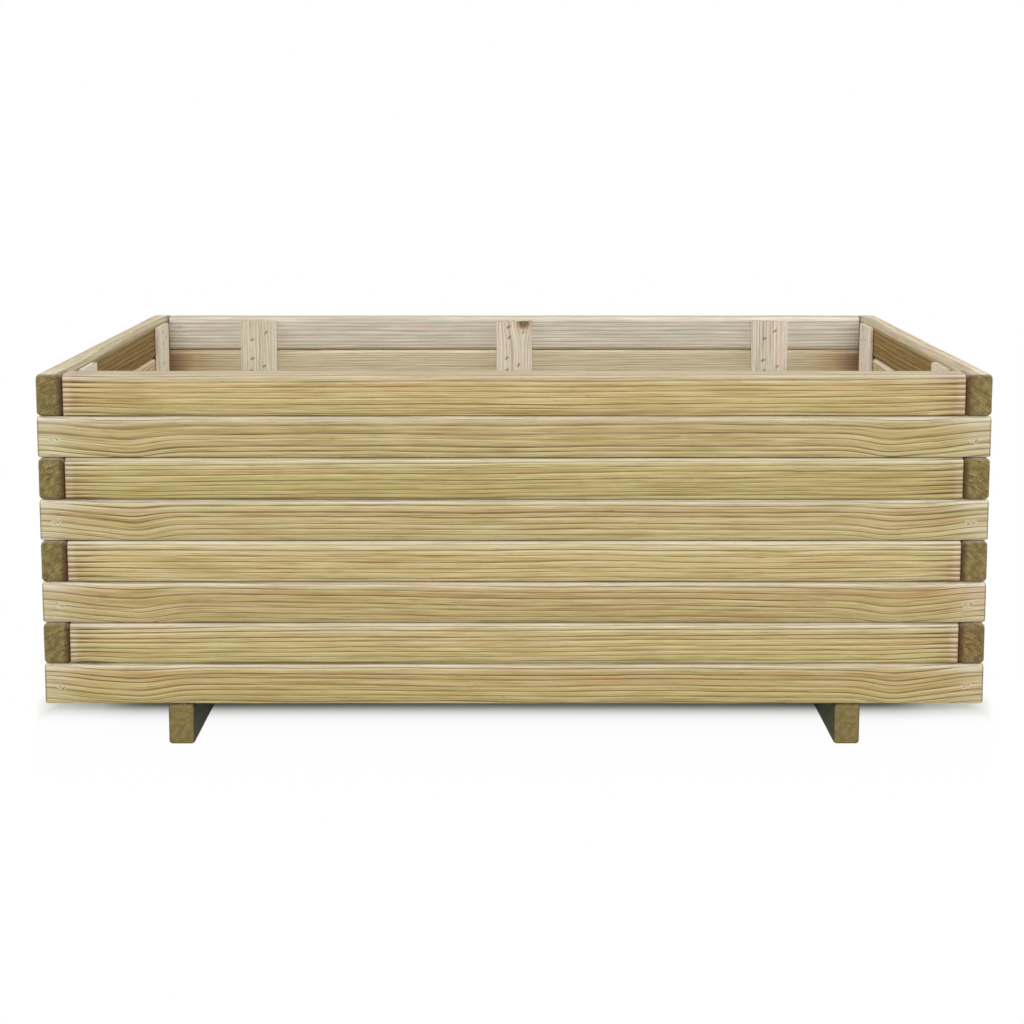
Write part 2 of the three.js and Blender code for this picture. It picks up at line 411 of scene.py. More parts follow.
def nearness(l, h, marks, long, wide):
    """How near each point is to a staple mark (place, height, tilt): 1 on it, falling off as
    exp(-(u / long)^6 - (v / wide)^2), with u the distance along the mark and v the one across it."""
    near = 0 * l
    for place, height, tilt in marks:
        u = (l - place) * np.cos(tilt) + (h - height) * np.sin(tilt)
        v = (h - height) * np.cos(tilt) - (l - place) * np.sin(tilt)
        near = np.maximum(near, np.exp(-((u / long) ** 6) - (v / wide) ** 2))
    return near


print("faces of a grid of 3 rows and 4 columns:", len(grid_faces(3, 4)))

# %% Timber objects
UNEVEN, UNEVEN_WAVE = 0.16 * MM, 260 * MM  # half the depth of a planer's hollow, and its length
TONE_SPREAD, TONE_MIDDLE = (0.6, 1, 1), (0.3, 0, 0)  # of bright, warm and green, from timber to timber
made = {}


def plain_look(place, from_end, t, h, end):
    """Wood that is the same all over."""
    return {}


def add_timber(node, axes, wood, form, look=plain_look, relief=None, marks=()):
    """Makes the timber that stands for a frame node.

    Axes are the directions of its length and from its outer to its inner face. Form holds the material, the
    roundings, the easing of the end, the steps between points along it, on its faces and on its edges, and
    the fine places along it and up its faces. Look gives how dry, warm, green, cool and bright the wood is,
    and how far from a cut end, from a point's place and its shares t and h of the section. Marks are staples
    (place, height, tilt), in dents of form["dent"]: length, width, depth and the stain's width. Each goes
    into form["staples"] as a point on the face, the direction of its crown and the one into the wood.

    A point is centre + l * along + t * into + h * up, where (t, h) is the section's point, moved in by the
    row's inset and by relief(l, t, h), and scaled by the row's scale."""
    low, high = np.array(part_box(node))
    along, into = (np.array(axis, float) for axis in axes)
    up = np.cross(along, into)
    length, thickness, height = (np.abs((high - low) @ axis) for axis in (along, into, up))
    rng = np.random.default_rng(100 + len(made))
    roundings, steps, fine = form["roundings"], form["steps"], form.get("fine", ((), ()))
    faces = points_between(height / 2 - max(roundings), steps[1], fine[1])
    edges = points_between(thickness / 2 - max(roundings), steps[2])
    t, h, n_t, n_h = section(thickness, height, roundings, faces, edges)
    rows = rows_along(length, form["easing"], points_between(length / 2, steps[0], fine[0]))
    place, inset, scale, end = (array[:, None] for array in rows)
    body_t, body_h = (t - n_t * inset) * scale, (h - n_h * inset) * scale
    place, end = place + 0 * body_t, end + 0 * body_t
    count, turn, knot = rings_of(place, body_t, body_h, wood, rng)

    # Planing leaves a board a little uneven, so its faces lie up to 0.3 mm inside the box.
    depth = UNEVEN * (1 + wander(place + 3 * body_h, UNEVEN_WAVE, rng))
    dent = 0 * place
    if marks:
        long, wide, deep, halo = form["dent"]
        front = smooth_step(-body_t / thickness, 0.3, 0.45)
        depth = depth + deep * front * nearness(place, body_h, marks, long, wide)
        dent = front * nearness(place, body_h, marks, long + halo / 2, halo)
    if relief:
        depth = depth + relief(place, body_t, body_h)
    depth = depth * (1 - end) * scale
    points = np.stack([place, body_t - n_t * depth, body_h - n_h * depth], axis=-1)
    centre = (low + high) / 2
    world_points = centre + points @ np.stack([along, into, up])
    for along_it, up_it, tilt in marks:
        face = centre + along * along_it + up * up_it - into * thickness / 2
        form["staples"].append((face, along * np.cos(tilt) + up * np.sin(tilt), into))

    looks = look(place, length / 2 - np.abs(place), body_t / thickness, body_h / height, end)
    dry, warmer, greener, cool, brighter = (
        looks.get(key, 0) + 0 * place for key in ("dry", "warm", "green", "cool", "bright")
    )
    cut = looks.get("cut", FAR) + 0 * place
    bright, warm, green = rng.uniform(-1, 1, 3) * TONE_SPREAD + TONE_MIDDLE
    attributes = {
        "grain": np.stack([place + rng.uniform(0, 40), count, turn], -1),
        "surface": np.stack([knot, end, dry], -1),
        "tone": np.stack([bright + brighter, warm + warmer, green + greener], -1),
        "mark": np.stack([dent, cut, cool], -1),
    }
    piece = add_mesh("pine_" + node, world_points.reshape(-1, 3), grid_faces(*place.shape), attributes)
    piece.data.materials.append(form["material"])
    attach(piece, "root")
    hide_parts(node)
    made[node] = len(piece.data.vertices)
    return piece


# %% [markdown]
# ## Pressure-treated pine
#
# The real boards are Scots pine, planed and then soaked with a copper preservative under pressure. The salt
# turns pale pine a greenish straw yellow. Each ring has a broad pale band of spring wood that darkens into a
# thin brown line of summer wood, and ends sharply. End grain drinks far more preservative, and so it is a
# dark olive brown.
#
# A material could be a long chain of nodes written one by one. Here it is a few tables instead: what the
# mesh stores, the noises, and the layers of colour on the side, on the sawn end and on both. One loop turns
# a table into nodes, so a layer is one line to read, to move or to leave out.

# %% What the material reads
ATTRIBUTES = {  # the three parts of each vector that the mesh stores
    "grain": ("place", "ring", "turn"),
    # dry runs from pale dry wood to dark wet wood, and also holds painted light on the lower edges and
    # painted shade by joints and on the feet's sides
    "surface": ("knot", "end", "dry"),
    # bright is each timber's own tone at random, plus painted shade, a grey on some top edges
    "tone": ("bright", "warm", "green"),
    # cool is the grey of weathered wood, and on every top edge a painted highlight
    "mark": ("dent", "cut", "cool"),
}
NOISES = {  # patches for each metre of length, each ring, and each metre round the heart; detail; roughness
    "slow wave": (4.5, 0.3, 14, 1, 0.5),  # moves a ring over a hand's length
    "quick wave": (18, 1.6, 60, 2, 0.5),  # and over a finger's
    "fading": (5, 1.1, 40, 2, 0.6),
    "fibre": (14, 6.5, 800, 2, 0.7),  # real fibres are a fifth of a millimetre wide, these about one, to show
    "duct": (60, 7, 900, 1, 0.5),  # resin ducts, short dashes in the dark part of a ring
    "pink patch": (16, 1.6, 90, 2, 0.6),
    "green patch": (11, 1.3, 70, 2, 0.6),
    "streak": (3, 1, 25, 3, 0.6),  # resin, the length of a forearm
    "uneven": (9, 1.5, 60, 3, 0.65),
    "speckle": (0, 4.5, 800, 3, 0.75),  # torn fibre ends, about a millimetre apart
    "end patch": (0, 0.8, 120, 2, 0.5),
    "end tint": (0, 1.2, 150, 2, 0.5),
    "splinter": (420, 3, 420, 2, 0.6),  # where a staple went in, two millimetres long and wide
}


def read_wood(tree):
    """Adds the nodes that read the attributes and make the noises, in a dictionary of sockets by name.
    A noise is sampled at the grain vector times its rates."""
    found = {}
    for attribute, names in ATTRIBUTES.items():
        found[attribute] = add_node(tree, "Attribute", attribute_name=attribute).outputs["Vector"]
        found.update(zip(names, add_node(tree, "SeparateXYZ", {0: found[attribute]}).outputs))
    for name, (*rates, detail, rough) in NOISES.items():
        vector = add_node(tree, "VectorMath", {0: found["grain"], 1: rates}, operation="MULTIPLY")
        inputs = {"Vector": vector, "Scale": 1.0, "Detail": detail, "Roughness": rough}
        found[name] = add_node(tree, "TexNoise", inputs).outputs[0]
    return found


print("noises in the wood:", len(NOISES))

# %% Years in the wood
BENDS = [("slow wave", 0.7), ("quick wave", 0.22)]  # in rings: no ring is even
GOOD_AND_POOR = 1.1  # rings by which good and poor years move a line
END_LINES = 3  # the sawn end shows each narrow year; on the face three of them are drawn as one, to show


def add_years(tree, found):
    """Adds season, which goes from 0 to 1 within each year, the same for the finer lines of the sawn end,
    and a number for each year. The count of rings is bent by the noises and by a noise of the count itself,
    and its fraction is the season."""
    count = found["ring"]
    for name, rings in BENDS:
        count = add_node(tree, "Math", {0: found[name], 1: rings, 2: count}, operation="MULTIPLY_ADD")
    years = add_node(tree, "TexNoise", {"W": count, "Scale": 0.6, "Detail": 1.0}, noise_dimensions="1D")
    moved = {0: years.outputs[0], 1: GOOD_AND_POOR, 2: count}
    count = add_node(tree, "Math", moved, operation="MULTIPLY_ADD")
    year = add_node(tree, "Math", {0: count}, operation="FLOOR")
    finer = add_node(tree, "Math", {0: count, 1: END_LINES}, operation="MULTIPLY")
    found["season"] = add_node(tree, "Math", {0: count}, operation="FRACT").outputs[0]
    found["end season"] = add_node(tree, "Math", {0: finer}, operation="FRACT").outputs[0]
    found["year"] = add_node(tree, "TexWhiteNoise", {"W": year}, noise_dimensions="1D").outputs[0]


print("a year moves by up to", sum(rings for _, rings in BENDS) + GOOD_AND_POOR, "rings")

# %% Layers of colour
# Each layer: pattern, noise that roughens it, amount; low, high, share at low, share at high; blend, colour.
TINT, COVER = "MULTIPLY", "MIX"  # what a layer does to those under it
LINES = [("year", "fading", 0.9, 0.35, 1, 0.55, 1, COVER, "lines")]
SIDE_LAYERS = [
    # Dry wood, which also carries the painted highlight of the top edges, the painted light of the lower
    # edges and of the corner battens.
    ("dry", "uneven", 0.5, 0.3, 1.25, 0, 1, COVER, "dry wood"),
    ("dry", "fibre", 0.8, 0.9, 1.9, 0, 0.35, COVER, "#EFE3D2"),
    ("pink patch", None, 0, 0.45, 0.75, 0, 0.55, TINT, "#F2DCCC"),
    ("green patch", None, 0, 0.45, 0.72, 0, 0.75, TINT, "tint"),
    ("streak", None, 0, 0.55, 0.75, 0, 0.6, TINT, "stain"),
    ("cut", "fibre", 2.4, 1.7, 2.6, 0.75, 0, COVER, "#E8D4BC"),
    ("season", "cut", -0.11, 0.15, 0.6, 0, 0.85, TINT, "#A08050"),
    ("knot", "fibre", 0.9, 1.3, 2.4, 0.75, 0, TINT, "stain"),
    ("knot", "fibre", 0.6, 0.9, 1.5, 0.95, 0, COVER, "#5C4422"),
    ("dent", "splinter", 0.8, 0.75, 1.35, 0, 0.8, COVER, "dent"),
    ("dent", "splinter", -1.3, 0.2, 0.5, 0, 0.85, TINT, "#7E6844"),
    ("duct", "season", 0.06, 0.7, 0.76, 0, 0.5, TINT, "#9A7B4E"),
    ("fibre", None, 0, 0.3, 0.52, 0.6, 0, TINT, "#A8977A"),
    ("fibre", None, 0, 0.5, 0.75, 0, 0.4, COVER, "#EFE3C6"),
]
END_LAYERS = [
    ("end patch", None, 0, 0.4, 0.62, 0, 0.7, TINT, "patch"),
    ("end tint", None, 0, 0.42, 0.6, 0, 0.9, TINT, "salt"),
    ("speckle", None, 0, 0.3, 0.52, 0.6, 0, TINT, "torn"),
    ("speckle", None, 0, 0.5, 0.75, 0, 0.5, COVER, "frayed"),
]
LAST_LAYERS = [
    ("end", None, 0, 0.03, 0.3, 0, 0.7, TINT, "#6E6746"),  # painted shade on the worn rim of the end
    ("end", None, 0, 0.6, 0.95, 0, 1, COVER, "sawn end"),
    # Soak: wet wood, which also carries painted shade by joints and inside corners, on the inner end walls
    # and on the feet's sides.
    ("dry", "uneven", 0.4, -0.95, 0.1, 1, 0, TINT, "soak"),
    ("warm", None, 0, 0, 1.5, 0, 0.36, TINT, "stain"),
    ("green", None, 0, 0, 1.5, 0, 0.6, TINT, "tint"),
    ("cool", None, 0, 0, 1, 0, 0.75, COVER, "#FCF8F2"),
    ("cool", "season", 0.5, 1.2, 1.45, 0, 0.5, TINT, "#B8A88C"),
    ("cool", "green patch", 1.6, 1.4, 1.9, 0, 0.6, TINT, "#CFE0D6"),
    ("cool", "pink patch", 1.6, 1.4, 1.9, 0, 0.6, TINT, "#F0D8CE"),
    # Each timber's own tone at random, and the painted shade of a board's look: a grey that darkens its top
    # edge.
    ("bright", None, 0, -3.0, 1, 0.8, 0, TINT, "#C8C8C8"),
]


def lay_on(tree, colour, layers, found, colours):
    """Lays patterns on a colour one after the other, and returns the last socket.

    A layer's pattern plus the amount times its noise, moved from the range low to high into the range of
    the two shares, says how much of the new colour there is. Its colour is hex or a name in colours."""
    for pattern, noise, amount, low, high, least, most, blend, name in layers:
        value = found[pattern]
        if noise:
            value = add_node(tree, "Math", {0: found[noise], 1: amount, 2: value}, operation="MULTIPLY_ADD")
        limits = {"From Min": low, "From Max": high, "To Min": least, "To Max": most}
        share = add_node(tree, "MapRange", {"Value": value, **limits})
        inputs = {"Factor": share, "A": colour, "B": colours.get(name, name)}
        colour = add_node(tree, "Mix", inputs, data_type="RGBA", blend_type=blend).outputs[2]
    return colour


print("layers of colour:", len(LINES + SIDE_LAYERS + END_LAYERS + LAST_LAYERS))

# %% Pine material
BUMP_HEIGHT = 0.4 * MM
SPRING_MATT, SUMMER_MATT = 0.05, -0.06  # added to the roughness on the wood of spring and of summer
YEAR_PLACES = (0.0, 0.14, 0.4, 0.7, 0.87, 0.96, 1.0)  # of the colours within a year


def pine_material(name, fresh, dry, sawn, roughness, **colours):
    """Treated pine. Fresh and dry hold the colours early, middle and late, from the pale start of a year to
    its dark end, of fresh wood and of wood dried by the weather. Sawn has the early and late colour of the
    end. Colours are those that the layers name.

    The surface is matt, with an IOR of 1.5 like other wood, and a little smoother on the hard summer wood,
    which also stands up a little from the soft spring wood."""
    material, tree = empty_material(name)
    found = read_wood(tree)
    add_years(tree, found)
    woods = []
    for early, middle, late in (fresh, dry):
        stops = list(zip(YEAR_PLACES, (early, early, middle, middle, late, late, early)))
        lines = add_node(tree, "ValToRGB", {0: found["season"]}, stops)
        woods.append(lay_on(tree, middle, LINES, found, {"lines": lines}))
    side = lay_on(tree, woods[0], SIDE_LAYERS, found, {**colours, "dry wood": woods[1]})
    stops = [(0.0, sawn[0]), (0.4, sawn[0]), (0.8, sawn[1]), (0.92, sawn[1]), (1.0, sawn[0])]
    end = add_node(tree, "ValToRGB", {0: found["end season"]}, stops)
    end = lay_on(tree, end, END_LAYERS, found, colours)
    colour = lay_on(tree, side, LAST_LAYERS, found, {**colours, "sawn end": end})

    season = {"Value": found["season"], "From Max": 0.95}
    matt = {"From Min": 0.5, "To Min": roughness + SPRING_MATT, "To Max": roughness + SUMMER_MATT}
    matt = add_node(tree, "MapRange", {**season, **matt})
    raised = add_node(tree, "MapRange", {**season, "From Min": 0.4, "To Max": 0.8})
    height = add_node(tree, "Math", {0: found["fibre"], 1: raised}, operation="ADD")
    torn = add_node(tree, "MapRange", {"Value": found["end"], "To Max": 0.4})
    height = add_node(tree, "Math", {0: found["speckle"], 1: torn, 2: height}, operation="MULTIPLY_ADD")
    bump = add_node(tree, "Bump", {"Height": height, "Distance": BUMP_HEIGHT, "Strength": 0.8})
    inputs = {"Base Color": colour, "IOR": 1.5, "Roughness": matt, "Normal": bump}
    add_node(tree, "OutputMaterial", {"Surface": add_node(tree, "BsdfPrincipled", inputs)})
    return material


# %% Four kinds of pine
PLANED = {
    "fresh": ("#DFCC98", "#C6B27C", "#866D3B"),
    "dry": ("#E9DFC6", "#DBCEAE", "#9C865C"),
    "sawn": ("#A8925A", "#725F30"),
    # soak darkens wet wood, and is also painted shade by joints, in inside corners and on the inner faces of
    # the end walls
    "stain": "#E0B489", "tint": "#E2E6BE", "soak": "#B08A20", "dent": "#E6D9B8",
    "patch": "#B9976A", "salt": "#CAD696", "torn": "#8E8168", "frayed": "#C0B086",
    "roughness": 0.62,
}
board_pine = pine_material("pressure-treated pine, planed", **PLANED)
BATTEN_COLOURS = {
    "fresh": ("#F6EEE0", "#EEE2D0", "#C2AE90"),
    "dry": ("#FFFAF4", "#FCF4EA", "#E6D6C2"),
    "sawn": ("#EFE4D8", "#E4D8CA"),
    "stain": "#E8C8AA", "tint": "#DCE6D2", "dent": "#B98E62",
    "roughness": 0.72,
}
batten_pine = pine_material("pressure-treated pine, thin sawn batten", **{**PLANED, **BATTEN_COLOURS})
FOOT_COLOURS = {
    "fresh": ("#A08C5C", "#8E7A4C", "#6A5433"),
    "dry": ("#B9AA82", "#A89870", "#857049"),
    "sawn": ("#938052", "#8E7C4D"),
    # the foot's soak is the dark green of its sides: green damp wood, darkened further as painted shade
    "tint": "#E2E6CC", "soak": "#5E6E1C",
    "patch": "#E6DCC6", "salt": "#E2E6CC", "torn": "#C0B6A0", "frayed": "#A09468",
    "roughness": 0.8,
}
foot_pine = pine_material("pressure-treated pine, damp bearer with painted shade", **{**PLANED, **FOOT_COLOURS})
SLAT_COLOURS = {
    "fresh": ("#C9B78C", "#B9A47A", "#8F7549"),
    "dry": ("#D6CAAC", "#C6B894", "#9C885E"),
    "roughness": 0.72,
}
slat_pine = pine_material("pressure-treated pine, sawn slat", **{**PLANED, **SLAT_COLOURS})
print("wood materials:", [m.name for m in (board_pine, batten_pine, foot_pine, slat_pine)])

# %% [markdown]
# ## The boards of the four walls
#
# Each wall has eight boards. In one course the front board runs the full length and covers the ends of the
# end boards, and in the next the end boards run the full depth and cover the ends of the front board. Two
# slanting staples through the face of the board that runs through hold each corner.
#
# The weather and the stack have marked each board in the same way: its top edge and its cut ends have dried
# pale, and where it lies on the next board, or against one, it stays wet for longer and has gone brown. Part
# of this is painted light: the pale top edge is partly a painted highlight, the pale lower edge is painted
# light in the crease, the dark wood by a joint or inside a corner is partly painted shade, and a grey on the
# top edges of some boards is painted shade. A painted mask could say so. Here a board's look is a function
# of the place on it, so one function serves all the boards, and a table holds what differs.

# %% How a board looks
DRY_END = 60 * MM  # how far a board that runs through has dried from its ends
CUT_END = 8 * MM  # and a shorter one
BROWN_END = 70 * MM  # how far from its ends a brown board is brown
LAP = (-33 * MM, -26 * MM)  # before its end, where a board that runs through comes to cover another
CREST = (0.36, 0.42)  # shares of the height, over which a face turns into the top edge
BELOW = (0.44, 0.49)  # and, downwards, into the lower one
# An end wall's inner face is dark brown, partly wet wood and partly painted shade, as it faces away from the
# front lamp. Its shade is painted shade on the top edge.
END_LOOK = {"inner": -0.9, "top": 0.05, "rim": -0.4, "patchy": 1.3, "green": 1.3, "shade": 0.8}
NEXT_LOOK = {"inner": 0.6, "top": 0.8, "rim": -0.5}
LOOKS = {  # how dry the inner face and the top edge are, and how pale or dark the outer rim is; then what else a board has
    "front": {"inner": 0.6, "top": -0.15, "rim": 0.9},
    "back": {"inner": 0.9, "top": 0.8, "rim": -0.4, "cool": 0.2},
    "left": END_LOOK,
    "right": END_LOOK,
    "front_board_8": {"inner": 0.6, "top": -0.15, "rim": 0.4, "shade": 1.3},
    "back_board_8": {"inner": 1.1, "top": 0.3, "rim": -0.8, "cool": 1.0, "shade": 1.0},
    "back_board_7": {"inner": 0.8, "top": -0.1, "rim": -0.4, "cool": 0.1, "brown": 1.6, "warm": -1.2},
    "left_board_7": NEXT_LOOK,
    "right_board_7": NEXT_LOOK,
}


def board_look(full, inner, top, rim, cool=0, warm=0, green=0, brown=0, patchy=0, shade=0):
    """The look of a board. Dry goes from 1, pale, to -1, wet and dark, and falls from the top edge down over
    the face. The pale top edge is partly dry wood and partly a painted highlight, and the lower edge is pale
    again as painted light in the crease between two boards. The inner face is as given, darker near the ends
    of a board that runs through, where another board butts on, partly wet wood and partly painted shade, and
    the sawn end by a joint is darkened as painted shade. The outer rim is paler or darker as given. The upper
    part of the outer face is warmer, and the lower part greener. A cool board has a grey inner face, and
    every top edge is a little whiter as a painted highlight. A brown board has brown ends. On a patchy board
    the top edge changes between warm and green as the product of two sines. Shade is painted shade, a grey
    that darkens the top edge and the upper face. The smooth steps run between shares of the section, of which
    0 is the middle and 0.5 the surface."""
    def look(place, from_end, t, h, end):
        crest = smooth_step(h, *CREST)
        lower = smooth_step(-h, *BELOW)
        # The top edge is paler, partly dry wood and partly a painted highlight. The lower edge is made paler
        # as painted light that lifts the shade in the crease between two boards.
        side = 0.3 * smooth_step(h, 0.12, 0.3) + crest * top + 0.8 * lower
        side = side + rim * smooth_step(-t, 0.34, 0.46) * smooth_step(h, 0.38, 0.46)
        near_end = np.exp(-((from_end / BROWN_END) ** 2))
        inside = smooth_step(t, 0.2, 0.42)
        if full:
            side = side + 0.8 * smooth_step(-from_end, -DRY_END, 0)
            # Near its ends the inner face is darker where another board butts on: partly wet wood, partly
            # painted shade in the inside corner.
            side = side - 2.2 * inside * smooth_step(-from_end, *LAP)
        side = side + (inner - 1.4 * brown * near_end - side) * inside * (1 - 0.6 * crest)
        # On the sawn end the side by the joint is darkened: painted shade in the joint.
        joint = -1.25 * smooth_step(t, 0.2, 0.46)
        outside = smooth_step(-t, 0.2, 0.4) * (1 - end)
        patches = patchy * crest * np.sin(place / (9 * MM) + 5 * t) * np.sin(place / (13 * MM) - 7 * t)
        warmer = warm + (np.exp(-(((h - 0.2) / 0.12) ** 2)) - 0.3) * outside + 1.5 * brown * near_end
        return {
            "dry": side + (joint - side) * smooth_step(end, 0.3, 0.8),
            "warm": warmer + patches,
            "green": (0.6 * smooth_step(-h, -0.05, 0.25) - 0.3) * outside + green * inside - 1.5 * patches,
            # Every top edge is a little whiter: a painted highlight.
            "cool": (cool * inside * (1 - 0.5 * crest) + 0.2 * crest) * (1 - end),
            # Shade is painted shade: a grey that darkens the top edge and the upper face.
            "bright": (-2.2 * shade * smooth_step(h, 0.3, 0.47) - 0.4 * full * outside) * (1 - end),
            "cut": FAR if full else from_end / CUT_END,
        }
    return look


print("boards with a look of their own:", [name for name in LOOKS if "board" in name])

# %% Boards
COURSES = 8
STAPLE_FROM_END = 19 * MM
STAPLE_HEIGHT = -2.5 * MM  # on average, from the middle of a board
TWIN = 2.6  # mm from the middle of a pair of staples to each of them
corner_staples = []
BOARD = {
    "material": board_pine, "roundings": (5 * MM, 3 * MM), "easing": 1.0 * MM,
    "steps": (5 * MM, 3 * MM, 3 * MM),
}
FULL_BOARD = {
    **BOARD, "easing": 2.8 * MM, "dent": (2.2 * MM, 0.9 * MM, 0.8 * MM, 3.4 * MM), "staples": corner_staples,
}
END_WALL = {"roundings": (5 * MM, 4.5 * MM)}
WALLS = {  # the direction of the length, and from the outer to the inner face
    "front": ((1, 0, 0), (0, 1, 0)),
    "back": ((-1, 0, 0), (0, -1, 0)),
    "left": ((0, -1, 0), (1, 0, 0)),
    "right": ((0, 1, 0), (-1, 0, 0)),
}
RINGS = {"back_board_8": 4.2 * MM, "back_board_7": 2.6 * MM}  # slow-grown wood with narrow rings
TWIG = (458 * MM, 8 * MM, 1.9 * MM, 3.5)  # the trace of a small branch in the top back board
choice = np.random.default_rng(11)


def front_bends(full):
    """The bends of a front board. Those of full length dip in the same places, where a pair of branches was,
    each a little differently: a deep pair, a longer one beside it, and a slight rise at the ends. A shorter
    board has a shallow pair alone."""
    jitter = choice.uniform(-1, 1, 4).reshape(2, 2)
    if full:
        pair = [((396 + 5 * j) * MM, -12 * MM, (5.5 + k) * MM, 28 * MM, 24 * MM) for j, k in jitter]
        pair += [(438 * MM, -8 * MM, 4 * MM, 42 * MM, 30 * MM)] * 2
        pair += [(500 * MM, 4 * MM, -4 * MM, 60 * MM, 60 * MM)] * 2
    else:
        pair = [((452 + 5 * j) * MM, -16 * MM, (-2 + 0.5 * k) * MM, 35 * MM, 12 * MM) for j, k in jitter]
    return [(side * bend[0], *bend[1:]) for side, bend in zip((-1, 1) * 3, pair)]


for course in range(1, COURSES + 1):
    for wall, axes in WALLS.items():
        node = f"{wall}_board_{course}"
        long_wall = wall in ("front", "back")
        full = (course % 2 == 1) == long_wall
        low, high = np.array(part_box(node))
        half = max(high - low) / 2
        if long_wall:
            heart = (choice.uniform(0.07, 0.1), choice.uniform(0.12, 0.16))
        else:
            heart = (choice.uniform(0.035, 0.06), -choice.uniform(0.06, 0.1))
        lean = (choice.uniform(-0.01, 0.01), choice.uniform(-0.004, 0.004))
        ring = (4.6 if wall == "front" and not full else choice.uniform(5.0, 5.5)) * MM
        wood = {
            "heart": heart, "lean": lean, "ring": RINGS.get(node, ring),
            "wave": choice.uniform(0.4, 1.0) * MM,
            "bends": front_bends(full) if wall == "front" else (),
            "knots": [TWIG] if node == "back_board_8" else (),
        }
        marks = []
        for side, twin in ((-1, -1), (-1, 1), (1, -1), (1, 1)) if full else ():
            place = side * (half - STAPLE_FROM_END) + (TWIN * twin + choice.uniform(-0.8, 0.8)) * MM
            marks.append((place, choice.uniform(-4, -1) * MM, twin * choice.uniform(0.9, 1.3)))
        form = {**FULL_BOARD, "fine": ([mark[0] for mark in marks], [STAPLE_HEIGHT])} if full else BOARD
        if not long_wall:
            form = {**form, **END_WALL}
        add_timber(node, axes, wood, form, look=board_look(full, **LOOKS.get(node, LOOKS[wall])), marks=marks)
print("boards:", len(made), "points:", sum(made.values()), "corner staples:", len(corner_staples))

# %% [markdown]
# ## The battens
#
# The battens are thin sawn strips on the inside of the walls. They are stapled to every board with a
# pneumatic gun held at a slant, so that each board has a few short, slanting dents. The iron has stained
# the wood around them brown.
#
# Sunk staples could be drawn with a dark dash in the material. They are real dents with a real wire here,
# because light from the side would show the difference.

# %% Battens
PITCH = 44.5 * MM  # from course to course
WALL_BOTTOM = 44.3 * MM  # above the ground
KEEP_CLEAR = 6 * MM  # of a batten's ends, where no staple goes
batten_staples = []
BRANCH = (172 * MM, -12.5 * MM, 8.5 * MM, 1.2)  # the knot in the middle batten of the back wall
BATTEN = {
    "material": batten_pine, "roundings": (1 * MM, 1 * MM), "easing": 0.5 * MM,
    "steps": (1.6 * MM, 1.3 * MM, 1.7 * MM), "dent": (2.6 * MM, 0.9 * MM, 0.9 * MM, 2.2 * MM),
    "staples": batten_staples,
}
STAPLE_SPOTS = [(-9.5, 1), (9.5, 10), (9.5, -6)]  # on each board, in mm across the batten and up it


def corner_look(place, from_end, t, h, end):
    """A corner batten is pale all over: dry wood, lightened further as painted light in the shade of its
    corner.
    """
    return {"dry": 1.3, "cool": 0.1}


def wall_look(place, from_end, t, h, end):
    """A batten on a long wall is a little dry. One edge has drunk more copper salt and gone bluish green."""
    edge = smooth_step(-h, 0.1, 0.4)
    return {"dry": 0.5, "cool": 0.3 * edge, "green": 0.8 * edge}


def knotted_look(place, from_end, t, h, end):
    """The same, with a green patch below the knot."""
    patch = np.exp(-(((place - 146 * MM) / (14 * MM)) ** 2)) * smooth_step(-h, 0.0, 0.2)
    return {"dry": 0.5, "cool": 0.3 * patch, "green": 2.2 * patch}


for wall, (_, inward) in WALLS.items():
    into = -np.array(inward, float)  # from the batten's face that shows to the wall behind it
    long_wall = wall in ("front", "back")
    for spot in ("left", "middle", "right") if long_wall else ("front", "back"):
        node = f"{wall}_batten_{spot}"
        bottom, top = (corner.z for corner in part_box(node))
        marks = []
        for course in range(COURSES):
            middle = WALL_BOTTOM + (course + 0.5) * PITCH - (bottom + top) / 2
            for column, row in STAPLE_SPOTS:
                shift = choice.uniform(-3.5, 3.5, 2)
                up_it, across_it = middle + (row + shift[0]) * MM, (column + shift[1]) * MM
                marks.append((up_it, across_it, -choice.uniform(0.5, 1.1)))
        marks = [mark for mark in marks if abs(mark[0]) < (top - bottom) / 2 - KEEP_CLEAR]
        knotted = node == "back_batten_middle"
        wood = {
            "heart": (choice.uniform(0.02, 0.06), choice.choice([-1, 1]) * choice.uniform(0.08, 0.14)),
            "lean": (0, choice.uniform(-0.01, 0.01)),
            "ring": choice.uniform(3.6, 4.6) * MM,
            "wave": choice.uniform(0.5, 1.5) * MM,
            "knots": [BRANCH] if knotted else (),
        }
        look = knotted_look if knotted else wall_look if long_wall else corner_look
        add_timber(node, ((0, 0, 1), into), wood, BATTEN, look=look, marks=marks)
print("timbers:", len(made), "points:", sum(made.values()), "batten staples:", len(batten_staples))

# %% [markdown]
# ## Feet and floor
#
# The two feet are lengths of the same board set on edge, from the front face to the back. Screws come up
# through them into the lowest boards, and their heads sit in shallow recesses on the underside. The recess
# is part of the surface's formula, so no Boolean has to cut it.
#
# Five sawn slats, laid lengthwise on the feet with gaps for water, make the floor.

# %% Feet
SCREW_PLACE = 236 * MM  # from the middle of a foot
RECESS_RADIUS, RECESS_DEPTH = 5.6 * MM, 1.7 * MM
UNDERSIDE = -19 * MM  # a point of a foot that is lower than this is on its underside
FOOT = {
    "material": foot_pine, "roundings": (4 * MM, 4 * MM), "easing": 2.2 * MM,
    "steps": (4 * MM, 3 * MM, 0.9 * MM), "fine": ([-SCREW_PLACE, SCREW_PLACE], ()),
}


